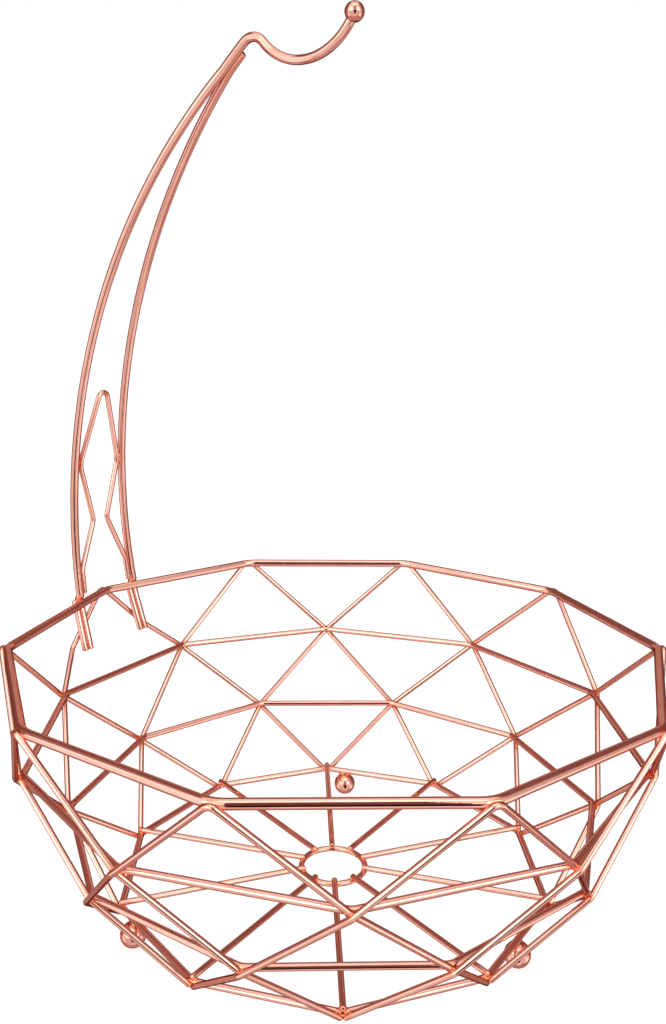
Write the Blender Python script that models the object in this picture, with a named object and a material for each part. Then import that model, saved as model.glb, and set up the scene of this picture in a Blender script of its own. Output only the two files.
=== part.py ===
"""Wire produce basket: a faceted ten-sided bowl of bent wire on three ball feet, with a lift-off hook hanger.

The floor is z = 0, the bowl's axis is Z, and the hanger stands on the bowl's -X side with its hook over the
middle. Each bent wire, straight wire and ball is its own object. The four rings lie inside the lattice wires.
At every crossing the wire that turns clockwise as it runs down lies over the one that turns the other way.
"""

import math

import bmesh
import bpy
from mathutils import Matrix, Vector

# Driving dimensions, in metres and degrees.
GAP = 0.0003                    # clearance between wires that are welded or rest on each other; bends over
                                # a ring take up some of it

SIDES = 10                      # sides of every ring, hairpins in the lattice, and spokes
SIDE_ANGLE = 360 / SIDES
HALF_SIDE = SIDE_ANGLE / 2      # each ring is turned by this from the ring above it

RIM_WIRE = 0.0020               # wire radii
RING_WIRE = 0.0015
LATTICE_WIRE = 0.0013
SPOKE_WIRE = 0.0013
HUB_WIRE = 0.0013
HANGER_WIRE = 0.0020
DIAMOND_WIRE = 0.0013
PIN_WIRE = 0.0017

FOOT_BALL = 0.0057              # ball radii
FOOT_FLAT = 0.0015              # radius of the flat that each foot stands on
HOOK_BALL = 0.0040

RIM_CORNER = 0.1450             # distance of each ring's corners from the bowl's axis
UPPER_CORNER = 0.1367
LOWER_CORNER = 0.1208
BASE_CORNER = 0.0986
RIM_BEND = 0.0140               # radius of the bends at the corners
RING_BEND = 0.0070

FOOT_CENTRE_Z = math.sqrt(FOOT_BALL**2 - FOOT_FLAT**2)
BASE_Z = FOOT_CENTRE_Z + FOOT_BALL + GAP + RING_WIRE
LOWER_Z = BASE_Z + 0.0323
UPPER_Z = LOWER_Z + 0.0370
RIM_Z = UPPER_Z + 0.0395
FOOT_ANGLES = (0, 120, 240)

SPOKE_Z = BASE_Z + RING_WIRE + GAP + SPOKE_WIRE
SPOKE_INNER = 0.0146            # where a spoke's rounded ends are centred
SPOKE_OUTER = 0.0992
HUB_RADIUS = 0.0150
HUB_Z = SPOKE_Z - SPOKE_WIRE - GAP - HUB_WIRE

HAIRPIN_BEND = 0.0032           # the rounded top of a hairpin
HAIRPIN_STANDOFF = 0.0008       # clearance from the rim wire at the top, because the legs lean in under it
LATTICE_BEND = 0.0050           # its bends over the rings
LATTICE_END_GAP = 0.0030        # distance between the two wires' ends that meet at a corner of the base ring
HANGER_ANGLE = 180              # the rim corner that the hanger straddles
POCKET_SIDE = 0.0250            # where that corner's lattice wire bends clear of the hanger's pins
POCKET_DROP = 0.0240
POCKET_OUT = 0.1440

BULGE_OUT = 0.1474              # the hanger's legs follow one arc, whose outermost point is here
BULGE_RISE = 0.0463             # above the rim
LEG_ARC = 0.2746
LEG_END_RISE = 0.0020           # the legs' rounded lower ends rest on the rim's outer shoulder
SPREAD_RIM = 0.0187             # half the distance between the legs, at the rim and where they meet
SPREAD_TOP = HANGER_WIRE + GAP / 2
LEGS_MEET = 47.0                # measured along the arc, in degrees up from the bulge
SPREAD_TAPER = 0.66             # share of the spread that closes evenly; the rest closes near the top
SPREAD_POWER = 4
LEG_STOP = 0.0040               # the shorter leg ends this far below the bend at the hanger's top
PEAK_OUT = 0.0451               # centre of that bend
PEAK_BEND = 0.0072
CUP_RADIUS = 0.0276             # the hook's cup
CUP_START = 47                  # slope where the wire runs from the top bend into the cup, in degrees
CUP_END = 63                    # slope where it reaches the ball

DIAMOND_TOP_RISE = 0.1115       # heights above the rim; the bends round these corners off
DIAMOND_TOUCH_RISE = 0.0685
DIAMOND_WAIST_RISE = 0.0385
DIAMOND_KNEE_RISE = 0.0150
DIAMOND_END_RISE = 0.0033
DIAMOND_TOP_SIDE = 0.0009       # its top is this far off the middle, towards the spine
DIAMOND_WAIST = 0.0045          # half the distance between its two sides at the waist
DIAMOND_TOP_BEND = 0.0030
DIAMOND_SIDE_BEND = 0.0120
DIAMOND_WAIST_BEND = 0.0060

PIN_TOP_OFFSET = 0.0059         # how far the pins stand outside the rim wire's centre line, at their top
PIN_TOP_RISE = -0.0010
PIN_LENGTH = 0.0246
PIN_LEAN = 16.5                 # degrees from upright, following the bowl's wall
PIN_SPLAY = 2.2                 # degrees that each pair leans away from the other, as the legs do

SECTION_SIDES = 8
ARC_STEP = 14.0                 # degrees of bend per straight stretch of wire
CUP_STEP = 7.0                  # the same in the hook's cup
LONG_ARC_STEP = 4.0             # and in the hanger's long arc
LEAST_TURN = 1.0                # a corner that turns by fewer degrees isn't rounded
END_ROUNDING = 45               # slope, in degrees, where a wire's rounded end has its middle loop
SHARP_EDGE = 60                 # edges sharper than this aren't shaded smooth
HUB_STEPS = 24
BALL_SEGMENTS = 16
BALL_RINGS = 10

ROSE_GOLD = (0.76, 0.33, 0.24)  # plating on the frame wires
DEEP_ROSE_GOLD = (0.72, 0.28, 0.20)
BRIGHT_ROSE_GOLD = (0.80, 0.38, 0.28)


def polar(radius, degrees, z):
    """The point at this distance and direction from the bowl's axis."""
    angle = math.radians(degrees)
    return Vector((radius * math.cos(angle), radius * math.sin(angle), z))


def numbered(name, index):
    return f"{name}_{index + 1:02d}"


# Paths of wires ---------------------------------------------------------------------------------------------


def bend(before, corner, after, radius):
    """Points of the arc that rounds this corner of a path."""
    incoming = (corner - before).normalized()
    outgoing = (after - corner).normalized()
    turn = incoming.angle(outgoing)
    if turn < math.radians(LEAST_TURN):
        return [corner]
    setback = radius * math.tan(turn / 2)
    inward = (outgoing - incoming).normalized()
    centre = corner + inward * (radius / math.cos(turn / 2))
    start = corner - incoming * setback - centre
    axis = incoming.cross(outgoing).normalized()
    count = max(2, math.ceil(math.degrees(turn) / ARC_STEP))
    return [centre + Matrix.Rotation(turn * i / count, 3, axis) @ start for i in range(count + 1)]


def rounded_path(corners, radii, closed=False):
    """A path through the corners, each rounded to its radius; an open path's two ends stay sharp."""
    last = len(corners) - 1
    path = []
    for i, corner in enumerate(corners):
        if not closed and i in (0, last):
            path.append(corner)
        else:
            path += bend(corners[i - 1], corner, corners[(i + 1) % len(corners)], radii[i])
    return path


def ring_path(corner_radius, first_corner, bend_radius):
    """A ten-sided ring at z = 0 whose rounded corners reach out to corner_radius."""
    sharp_radius = corner_radius + bend_radius * (1 / math.cos(math.radians(HALF_SIDE)) - 1)
    corners = [polar(sharp_radius, first_corner + SIDE_ANGLE * i, 0) for i in range(SIDES)]
    return rounded_path(corners, [bend_radius] * SIDES, closed=True)


def wall_normal(upper, lower):
    """Outward normal of the wall between two (radius, z) levels, as (radius, z)."""
    along = Vector((lower[0] - upper[0], lower[1] - upper[1])).normalized()
    return Vector((-along.y, along.x))


def ring_levels():
    """The rings' corners as (radius, z), from the rim down."""
    return (
        (RIM_CORNER, RIM_Z),
        (UPPER_CORNER, UPPER_Z),
        (LOWER_CORNER, LOWER_Z),
        (BASE_CORNER, BASE_Z),
    )


def crossing(level, degrees, layer):
    """Where a lattice wire crosses a ring's corner; layer 0 lies on the ring, and layer 1 over layer 0."""
    levels = ring_levels()
    normal = wall_normal(levels[level - 1], levels[level])
    if level + 1 < len(levels):
        normal = (normal + wall_normal(levels[level], levels[level + 1])).normalized()
    lift = RING_WIRE + GAP + LATTICE_WIRE + layer * (2 * LATTICE_WIRE + GAP)
    radius, z = levels[level]
    return polar(radius + normal.x * lift, degrees, z + normal.y * lift)


def lattice_leg(turn, layer):
    """Corners of one leg of the hairpin at angle 0, from below its top to its end.

    The leg turns by HALF_SIDE per ring. At the base ring both legs lie on the ring itself, side by side.
    """
    short = math.degrees(LATTICE_END_GAP / 2 / BASE_CORNER)
    end = crossing(3, turn * (HALF_SIDE * 3 - short), 0)
    return [crossing(1, turn * HALF_SIDE, layer), crossing(2, turn * HALF_SIDE * 2, layer), end]


def pocket_bend(turn):
    """Where the hairpin that holds the hanger bends round the pins."""
    return Vector((POCKET_OUT, turn * POCKET_SIDE, RIM_Z - POCKET_DROP))


def hairpin_path(with_pocket):
    """One lattice wire, for the rim corner at angle 0."""
    rise = HAIRPIN_BEND * (math.sqrt(2) - 1)
    top = Vector((RIM_CORNER + RIM_WIRE + HAIRPIN_STANDOFF + LATTICE_WIRE, 0, RIM_Z + rise))
    anticlockwise = lattice_leg(1, 0)
    clockwise = lattice_leg(-1, 1)
    if with_pocket:
        anticlockwise.insert(0, pocket_bend(1))
        clockwise.insert(0, pocket_bend(-1))
    corners = anticlockwise[::-1] + [top] + clockwise
    radii = [LATTICE_BEND] * len(corners)
    radii[len(anticlockwise)] = HAIRPIN_BEND
    return rounded_path(corners, radii)


def hanger_point(out, side, z):
    """A point of the hanger: out from the bowl's axis towards it, and sideways from its middle plane."""
    return Matrix.Rotation(math.radians(HANGER_ANGLE), 3, "Z") @ Vector((out, side, z))


def leg_spread(degrees):
    """Half the distance between the legs at this angle up the arc."""
    if degrees >= LEGS_MEET:
        return SPREAD_TOP
    lowest = leg_angle(LEG_END_RISE)
    share = (degrees - lowest) / (LEGS_MEET - lowest)
    left = SPREAD_TAPER * (1 - share) + (1 - SPREAD_TAPER) * (1 - share**SPREAD_POWER)
    return SPREAD_TOP + (SPREAD_RIM - SPREAD_TOP) * left


def leg_angle(rise):
    """The angle up the arc, in degrees, at this height over the rim."""
    return math.degrees(math.asin((rise - BULGE_RISE) / LEG_ARC))


def leg_point(degrees, side=1):
    """A point of a leg's centre line; side is 1 for the spine's leg and -1 for the other."""
    angle = math.radians(degrees)
    out = BULGE_OUT - LEG_ARC + LEG_ARC * math.cos(angle)
    z = RIM_Z + BULGE_RISE + LEG_ARC * math.sin(angle)
    return hanger_point(out, side * leg_spread(degrees), z)


def leg_path(top, side):
    lowest = leg_angle(LEG_END_RISE)
    count = math.ceil((top - lowest) / LONG_ARC_STEP)
    return [leg_point(lowest + (top - lowest) * i / count, side) for i in range(count + 1)]


def peak_angle():
    """The angle up the arc where it runs into the top bend, whose centre is inside the arc at PEAK_OUT."""
    centre_out = PEAK_OUT - (BULGE_OUT - LEG_ARC)
    return math.degrees(math.acos(centre_out / (LEG_ARC - PEAK_BEND)))


def peak_centre():
    angle = math.radians(peak_angle())
    return PEAK_OUT, RIM_Z + BULGE_RISE + (LEG_ARC - PEAK_BEND) * math.sin(angle)


def cup_centre():
    out, z = peak_centre()
    slope = math.radians(CUP_START)
    reach = PEAK_BEND + CUP_RADIUS
    return out - reach * math.sin(slope), z + reach * math.cos(slope)


def arc_points(centre, radius, first, last, step):
    """An arc in the hanger's plane; angles in degrees from straight up, positive towards the rim."""
    count = math.ceil(abs(last - first) / step)
    angles = [math.radians(first + (last - first) * i / count) for i in range(count + 1)]
    return [
        hanger_point(centre[0] + radius * math.sin(a), SPREAD_TOP, centre[1] + radius * math.cos(a))
        for a in angles
    ]


def ball_point():
    """Centre of the ball at the hook's tip."""
    return arc_points(cup_centre(), CUP_RADIUS, 180, 180 + CUP_END, CUP_END)[-1]


def spine_path():
    """The hanger's main wire: up from the rim, over the top bend, and through the cup to near the ball."""
    short = math.degrees((HOOK_BALL + GAP) / CUP_RADIUS)
    climb = leg_path(peak_angle(), 1)
    top = arc_points(peak_centre(), PEAK_BEND, 90 - peak_angle(), -CUP_START, ARC_STEP)
    cup = arc_points(cup_centre(), CUP_RADIUS, 180 - CUP_START, 180 + CUP_END - short, CUP_STEP)
    return climb + top[1:] + cup[1:]


def diamond_point(rise, side):
    """A point of the diamond wire, which lies in the curved face that the two legs span."""
    angle = math.radians(leg_angle(rise))
    return hanger_point(BULGE_OUT - LEG_ARC + LEG_ARC * math.cos(angle), side, RIM_Z + rise)


def beside_leg(rise):
    """How far to the side the diamond wire is where it lies against a leg."""
    return leg_spread(leg_angle(rise)) - HANGER_WIRE - GAP - DIAMOND_WIRE


def diamond_path():
    """One wire: up beside a leg, in to the waist, out to the leg, over the top, and the same way down."""
    half = [
        (DIAMOND_END_RISE, beside_leg(DIAMOND_END_RISE)),
        (DIAMOND_KNEE_RISE, beside_leg(DIAMOND_KNEE_RISE)),
        (DIAMOND_WAIST_RISE, DIAMOND_WAIST),
        (DIAMOND_TOUCH_RISE, beside_leg(DIAMOND_TOUCH_RISE)),
    ]
    radii = [0, DIAMOND_SIDE_BEND, DIAMOND_WAIST_BEND, DIAMOND_SIDE_BEND]
    up = [diamond_point(rise, side) for rise, side in half]
    down = [diamond_point(rise, -side) for rise, side in reversed(half)]
    top = diamond_point(DIAMOND_TOP_RISE, DIAMOND_TOP_SIDE)
    return rounded_path(up + [top] + down, radii + [DIAMOND_TOP_BEND] + radii[::-1])


def pin_path(side, place):
    """One of the two pins under a leg; side picks the leg, and place is -1 or 1 within the pair."""
    slope = math.tan(math.radians(HALF_SIDE))
    sharp_corner = RIM_CORNER + RIM_BEND * (1 / math.cos(math.radians(HALF_SIDE)) - 1)
    rim_out = sharp_corner - SPREAD_RIM * slope
    out = rim_out + PIN_TOP_OFFSET / math.cos(math.radians(HALF_SIDE))
    across = side * SPREAD_RIM + place * (PIN_WIRE + GAP / 2)
    lean = math.radians(PIN_LEAN)
    splay = math.radians(PIN_SPLAY)
    down = Vector((-math.sin(lean), side * math.sin(splay), -math.cos(lean))) * PIN_LENGTH
    top = Vector((out, across, RIM_Z + PIN_TOP_RISE))
    return [hanger_point(*top), hanger_point(*(top + down))]


def lift_direction():
    """The hanger comes off along its pins."""
    lean = math.radians(PIN_LEAN)
    return hanger_point(math.sin(lean), 0, math.cos(lean))


# Solids -----------------------------------------------------------------------------------------------------


def section_radius(wire_radius):
    """Radius of the polygon that has the round wire's area."""
    angle = 2 * math.pi / SECTION_SIDES
    return wire_radius * math.sqrt(angle / math.sin(angle))


def section_frames(path, closed):
    """A (centre, normal, binormal) and a tangent for each point, with the sections mitred and not twisted."""
    count = len(path)
    tangents = []
    for i in range(count):
        before = path[i - 1] if closed or i else path[i]
        after = path[(i + 1) % count] if closed or i + 1 < count else path[i]
        into = (path[i] - before).normalized()
        out = (after - path[i]).normalized()
        tangents.append((into + out).normalized())
    lies_flat = abs(tangents[0].z) < math.sin(math.radians(45))
    normal = Vector((0, 0, 1)) if lies_flat else tangents[0].orthogonal().normalized()
    frames = []
    for centre, tangent in zip(path, tangents):
        normal = (normal - tangent * normal.dot(tangent)).normalized()
        frames.append((centre, normal, tangent.cross(normal)))
    return frames, tangents


def loop_of_vertices(bm, centre, normal, binormal, radius):
    loop = []
    for k in range(SECTION_SIDES):
        angle = 2 * math.pi * (k + 0.5) / SECTION_SIDES
        loop.append(bm.verts.new(centre + (normal * math.cos(angle) + binormal * math.sin(angle)) * radius))
    return loop


def join_loops(bm, first, second):
    for k in range(SECTION_SIDES):
        after = (k + 1) % SECTION_SIDES
        bm.faces.new((first[k], first[after], second[after], second[k]))


def close_end(bm, loop, frame, tangent, radius):
    """A rounded end on the last loop, bulging along tangent."""
    centre, normal, binormal = frame
    rounding = math.radians(END_ROUNDING)
    step = tangent * radius * math.sin(rounding)
    inner = loop_of_vertices(bm, centre + step, normal, binormal, radius * math.cos(rounding))
    tip = bm.verts.new(centre + tangent * radius)
    join_loops(bm, loop, inner)
    for k in range(SECTION_SIDES):
        bm.faces.new((inner[k], inner[(k + 1) % SECTION_SIDES], tip))


def wire_mesh(name, path, wire_radius, closed=False, last_flat=False):
    """A round wire along the path, with rounded ends unless closed; last_flat cuts its last end square."""
    radius = section_radius(wire_radius)
    frames, tangents = section_frames(path, closed)
    bm = bmesh.new()
    loops = [loop_of_vertices(bm, *frame, radius) for frame in frames]
    for first, second in zip(loops, loops[1:]):
        join_loops(bm, first, second)
    if closed:
        join_loops(bm, loops[-1], loops[0])
    else:
        close_end(bm, loops[0], frames[0], -tangents[0], radius)
        if last_flat:
            bm.faces.new(loops[-1])
        else:
            close_end(bm, loops[-1], frames[-1], tangents[-1], radius)
    return finished_mesh(name, bm)


def ball_mesh(name, radius, flat_radius=0.0):
    """A ball about the origin, with a flat underneath where flat_radius isn't zero."""
    bm = bmesh.new()
    bmesh.ops.create_uvsphere(bm, u_segments=BALL_SEGMENTS, v_segments=BALL_RINGS, radius=radius)
    if flat_radius:
        cut = Vector((0, 0, -math.sqrt(radius**2 - flat_radius**2)))
        every = bm.verts[:] + bm.edges[:] + bm.faces[:]
        result = bmesh.ops.bisect_plane(bm, geom=every, plane_co=cut, plane_no=(0, 0, -1), clear_outer=True)
        rim = [e for e in result["geom_cut"] if isinstance(e, bmesh.types.BMEdge)]
        bmesh.ops.edgeloop_fill(bm, edges=rim)
    return finished_mesh(name, bm)


def finished_mesh(name, bm):
    bmesh.ops.recalc_face_normals(bm, faces=bm.faces[:])
    mesh = bpy.data.meshes.new(name)
    bm.to_mesh(mesh)
    bm.free()
    mesh.shade_smooth()
    mesh.set_sharp_from_angle(angle=math.radians(SHARP_EDGE))
    return mesh


# Objects ----------------------------------------------------------------------------------------------------


def plated(name, colour, roughness):
    """Polished rose-gold plating on steel."""
    material = bpy.data.materials.new(name)
    material.use_nodes = True
    shader = material.node_tree.nodes["Principled BSDF"]
    shader.inputs["Base Color"].default_value = (*colour, 1)
    shader.inputs["Metallic"].default_value = 1.0
    shader.inputs["Roughness"].default_value = roughness
    return material


def add_object(name, mesh, material, parent, turn=0.0, location=(0, 0, 0)):
    """An object under parent, turned about its own Z by this many degrees."""
    if not mesh.materials:
        mesh.materials.append(material)
    obj = bpy.data.objects.new(name, mesh)
    obj.location = location
    obj.rotation_euler = (0, 0, math.radians(turn))
    obj.parent = parent
    bpy.context.scene.collection.objects.link(obj)
    return obj


def add_empty(name, location):
    empty = bpy.data.objects.new(name, None)
    empty.empty_display_size = 0.02
    empty.location = location
    bpy.context.scene.collection.objects.link(empty)
    return empty


def clear_scene():
    for obj in list(bpy.data.objects):
        bpy.data.objects.remove(obj, do_unlink=True)


def add_rings(parent):
    rings = (
        ("rim_ring", RIM_CORNER, RIM_Z, RIM_WIRE, RIM_BEND, 0),
        ("upper_ring", UPPER_CORNER, UPPER_Z, RING_WIRE, RING_BEND, HALF_SIDE),
        ("lower_ring", LOWER_CORNER, LOWER_Z, RING_WIRE, RING_BEND, 0),
        ("base_ring", BASE_CORNER, BASE_Z, RING_WIRE, RING_BEND, HALF_SIDE),
    )
    for name, corner, z, wire, bend_radius, first_corner in rings:
        mesh = wire_mesh(name, ring_path(corner, first_corner, bend_radius), wire, closed=True)
        add_object(name, mesh, plated(name + "_plating", ROSE_GOLD, 0.16), parent, 0, (0, 0, z))


def add_lattice(parent):
    material = plated("lattice_plating", BRIGHT_ROSE_GOLD, 0.14)
    plain = wire_mesh("lattice_wire", hairpin_path(False), LATTICE_WIRE)
    pocketed = wire_mesh("lattice_wire_pocket", hairpin_path(True), LATTICE_WIRE)
    for i in range(SIDES):
        turn = SIDE_ANGLE * i
        mesh = pocketed if turn == HANGER_ANGLE else plain
        add_object(numbered("lattice_wire", i), mesh, material, parent, turn)


def add_floor(parent):
    """The spokes lie on the base ring and on the hub ring, and so carry the bowl's floor."""
    spoke_material = plated("spoke_plating", ROSE_GOLD, 0.18)
    spoke = wire_mesh("spoke", [Vector((SPOKE_INNER, 0, 0)), Vector((SPOKE_OUTER, 0, 0))], SPOKE_WIRE)
    for i in range(SIDES):
        turn = HALF_SIDE + SIDE_ANGLE * i
        add_object(numbered("spoke", i), spoke, spoke_material, parent, turn, (0, 0, SPOKE_Z))
    circle = [polar(HUB_RADIUS, 360 * i / HUB_STEPS, 0) for i in range(HUB_STEPS)]
    hub = wire_mesh("hub_ring", circle, HUB_WIRE, closed=True)
    add_object("hub_ring", hub, plated("hub_plating", DEEP_ROSE_GOLD, 0.18), parent, 0, (0, 0, HUB_Z))


def base_ring_radius(degrees):
    """Distance of the base ring's straight sides from the axis in this direction."""
    sharp = BASE_CORNER + RING_BEND * (1 / math.cos(math.radians(HALF_SIDE)) - 1)
    from_middle = (degrees + HALF_SIDE) % SIDE_ANGLE - HALF_SIDE
    return sharp * math.cos(math.radians(HALF_SIDE)) / math.cos(math.radians(from_middle))


def add_feet(parent):
    material = plated("foot_plating", DEEP_ROSE_GOLD, 0.12)
    ball = ball_mesh("foot_ball", FOOT_BALL, FOOT_FLAT)
    for i, degrees in enumerate(FOOT_ANGLES):
        place = polar(base_ring_radius(degrees), degrees, FOOT_CENTRE_Z)
        add_object(numbered("foot_ball", i), ball, material, parent, 0, place)


def add_hanger(parent):
    """Everything that lifts off together; the parent's Z is the direction it lifts in."""
    to_parent = parent.matrix_basis.inverted()
    material = plated("hanger_plating", ROSE_GOLD, 0.14)
    slim_material = plated("diamond_plating", BRIGHT_ROSE_GOLD, 0.14)
    meet_top = peak_angle() - math.degrees(LEG_STOP / LEG_ARC)
    wires = [
        ("hanger_spine", spine_path(), HANGER_WIRE, material),
        ("hanger_leg", leg_path(meet_top, -1), HANGER_WIRE, material),
        ("hanger_diamond", diamond_path(), DIAMOND_WIRE, slim_material),
    ]
    pins = [(side, place) for side in (1, -1) for place in (-1, 1)]
    for i, (side, place) in enumerate(pins):
        wires.append((numbered("hanger_pin", i), pin_path(side, place), PIN_WIRE, slim_material))
    for name, path, wire, finish in wires:
        points = [to_parent @ point for point in path]
        mesh = wire_mesh(name, points, wire, last_flat=name == "hanger_spine")
        add_object(name, mesh, finish, parent)
    ball_material = plated("hook_ball_plating", DEEP_ROSE_GOLD, 0.10)
    ball = ball_mesh("hook_ball", HOOK_BALL)
    add_object("hook_ball", ball, ball_material, parent, 0, to_parent @ ball_point())


def main():
    clear_scene()
    basket = add_empty("basket_frame", (0, 0, 0))
    add_rings(basket)
    add_lattice(basket)
    add_floor(basket)
    add_feet(basket)
    hanger = add_empty("hanger_lift", polar(RIM_CORNER, HANGER_ANGLE, RIM_Z))
    hanger.rotation_euler = lift_direction().to_track_quat("Z", "Y").to_euler()
    add_hanger(hanger)
    bpy.context.view_layer.update()


main()
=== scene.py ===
"""Looks of the wire produce basket: smooth plated wires, balls and weld beads, a white studio and a camera.

Each visible wire follows the line of its CAD solid. At the welds it is set into the wire that it touches, as
resistance welding sets it, and a bead of metal fills each joint.
"""

import math

import bpy
import numpy as np
from mathutils import Matrix, Vector, noise


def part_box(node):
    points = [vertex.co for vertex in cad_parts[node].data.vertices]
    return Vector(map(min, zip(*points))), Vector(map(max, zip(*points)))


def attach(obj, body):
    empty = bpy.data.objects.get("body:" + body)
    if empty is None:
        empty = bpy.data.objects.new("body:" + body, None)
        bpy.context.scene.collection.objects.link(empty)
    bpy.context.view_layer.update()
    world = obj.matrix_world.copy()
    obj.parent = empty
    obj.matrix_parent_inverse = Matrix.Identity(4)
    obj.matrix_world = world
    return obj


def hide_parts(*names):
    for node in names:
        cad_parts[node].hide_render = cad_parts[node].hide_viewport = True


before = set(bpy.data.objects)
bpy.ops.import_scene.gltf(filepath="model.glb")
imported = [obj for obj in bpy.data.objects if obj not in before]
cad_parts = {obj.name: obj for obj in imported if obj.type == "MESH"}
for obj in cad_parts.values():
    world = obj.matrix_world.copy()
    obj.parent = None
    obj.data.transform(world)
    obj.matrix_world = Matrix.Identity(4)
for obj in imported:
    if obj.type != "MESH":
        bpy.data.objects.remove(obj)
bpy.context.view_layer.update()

# Dimensions are in metres and degrees. The rings' sizes, the spokes' ends and the places of the feet come
# from the frame.
SIDES = 10
SIDE_ANGLE = 360 / SIDES
HALF_SIDE = SIDE_ANGLE / 2
FEET = 3
BOTH_SIDES = (1, -1)

# Radii of the wires and of the balls.
RIM_WIRE = 0.0020
RING_WIRE = 0.0015
LATTICE_WIRE = 0.0013
SPOKE_WIRE = 0.0013
HUB_WIRE = 0.0013
HANGER_WIRE = 0.0020
DIAMOND_WIRE = 0.0013
PIN_WIRE = 0.0017
FOOT_BALL = 0.0057
FOOT_FLAT = 0.0015              # of the worn flat under a foot
HOOK_BALL = 0.00397

# Bend radii of the wires' centre lines.
RIM_BEND = 0.0140
RING_BEND = 0.0070
HAIRPIN_BEND = 0.0032
LATTICE_BEND = 0.0060

SET_IN = 0.35                   # how deep welded wires overlap, as a share of their two radii together
END_SPACING = 0.0024            # between the two lattice ends that meet at a corner of the base ring

# The hanger. Its legs rise on one long arc, which bulges out past the rim and leans in over the bowl.
# "Out" is away from the bowl's axis, "rise" and "drop" are above and below the rim.
HANGER_ANGLE = 180
POCKET_SIDE = 0.0250            # bends of the lattice wire that makes the pockets, to each side of its middle
POCKET_DROP = 0.0240
POCKET_OUT = 0.1440
BULGE_OUT = 0.1474
BULGE_RISE = 0.0463
LEG_ARC = 0.2746
LEG_END_RISE = 0.0020
SPREAD_RIM = 0.0187             # half the distance between the legs, at the rim
SPREAD_TOP = 0.0018             # and where they meet
LEGS_MEET = 47.0                # the angle on their arc where they meet
SPREAD_TAPER = 0.66             # the share of the spread that shrinks evenly; the rest shrinks by a power
SPREAD_POWER = 4
LEG_STOP = 0.0054               # how far below the top bend the second leg ends
LEG_WELD = 2                    # degrees below the top bend, where its end is welded to the spine
PEAK_OUT = 0.0451
PEAK_BEND = 0.0072
CUP_RADIUS = 0.0276
CUP_START = 47                  # how much of the hook's cup lies before its lowest point
CUP_END = 63                    # and after it
DIAMOND_RISES = (0.0033, 0.0150, 0.0385, 0.0685, 0.1115)    # of its end, knee, waist, touch and top
DIAMOND_WAIST = 0.0045
DIAMOND_TOP_SIDE = 0.0009
DIAMOND_BENDS = (0.0, 0.0120, 0.0060, 0.0120, 0.0030)
PIN_TOP_OFFSET = 0.0059         # from the centre line of the rim
PIN_TOP_RISE = -0.0010
PIN_LENGTH = 0.0246
PIN_LEAN = 16.5
PIN_SPLAY = 2.2
TOUCH = 0.00015                 # how far welded wires on the hanger overlap

# Weld beads: half their length and half their thickness.
CORNER_BEAD = (0.0024, 0.0012)
CROSSING_BEAD = (0.0018, 0.0010)
CROSSING_BEAD_LAYER = 0.5       # between the two lattice legs that cross
HUB_BEAD = (0.0021, 0.0009)
SPOKE_BEAD = (0.0024, 0.0011)
FOOT_BEAD = (0.0030, 0.0014)
DIAMOND_BEAD = (0.0030, 0.0009)
LEG_END_BEAD = (0.0030, 0.0020)
PIN_BEAD = (0.0040, 0.0007)
PIN_BEAD_PLACE = 0.35           # down the pins, as a share of their length
LEGS_BEAD_THICKNESS = 0.0011
LEGS_WELD_MARKS = 5             # heat marks and painted reflection up the weld where the legs meet
LEGS_WELD_STEP = 0.6            # degrees between them
BEAD_LUMPS = 0.30               # height of a bead's lumps, as a share of its size
BEAD_LUMP_SCALE = 1.7
BEAD_SEED_STEP = 3.7            # makes every bead's lumps different

# Fineness and flaws of the meshes.
SECTION_SIDES = 20
BEND_STEP = 4.0                 # degrees of bend per straight stretch
LONG_ARC_STEP = 1.0
LEAST_TURN = 0.5                # a corner that turns less than this isn't rounded
LONGEST_STRETCH = 0.006         # straight runs are cut this short, so that the drawing waves can bend them
HUB_POINTS = 60
BALL_SEGMENTS = 40
BALL_RINGS = 28
BEAD_SEGMENTS = 14
BEAD_RINGS = 9
# The rounded edge of a cut end: (along, out), in wire radii.
CUT_PROFILE = ((0.22, 0.97), (0.40, 0.86), (0.50, 0.66), (0.54, 0.36))
CUT_CENTRE = 0.01               # how far the middle of a cut end stands out beyond that
STEEP = 0.7                     # upward part of a steep wire's direction
DRAWING_WAVE = 0.00004          # how far a drawn wire strays from its line
WAVES_PER_METRE = 45
WAVE_SEED = 1                   # makes the same waves each time
WELD_REACH = 0.0045             # how far a weld's colour reaches along the wire: its heat mark and painted reflection
HEAT_AND_REFLECTION_FADE = 1.5                 # the power by which the colour fades towards that reach

# The plating. Textures are (scale, detail), bumps are (strength, depth).
EDGE_TINT = (0.55, 0.30, 0.25, 1)
# The orange painted round the welds and over the beads: a heat mark, and painted reflection of the light that
# touching wires throw on each other.
HEAT_AND_REFLECTION_COLOUR = (0.90, 0.33, 0.17)
HEAT_ROUGHNESS = 0.10           # added on a weld
COAT = 0.12
COAT_ROUGHNESS = 0.05
COLOUR_CLOUDS = (70, 3)
COLOUR_CLOUD_RANGE = (0.35, 0.65)
WEAR_CLOUDS = (420, 4)
WEAR_CLOUD_RANGE = (0.3, 0.7)
WEAR = (0.7, 1.5)               # the roughness where it is least and most worn, as shares of its middle value
DRAWN_LINES = (2200, 2)
DRAWN_BUMP = (0.05, 0.0001)
DRAWN_STRETCH = 0.04            # the drawing lines' pattern along the wire, as a share of its pace across it
DENTS = (160, 3)
DENT_BUMP = (0.10, 0.0005)

# The camera, in the row frame.
CAMERA_PLACE = (0.2411, -0.3657, 0.2863)
CAMERA_AZIMUTH = 33.72          # 0 looks along +Y
CAMERA_PITCH = 13.1             # downwards
CAMERA_ROLL = 0.81
CAMERA_LENS = 36.47             # millimetres, on a sensor 36 mm high
SENSOR = 36.0
NEAREST_SEEN = 0.01

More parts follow.
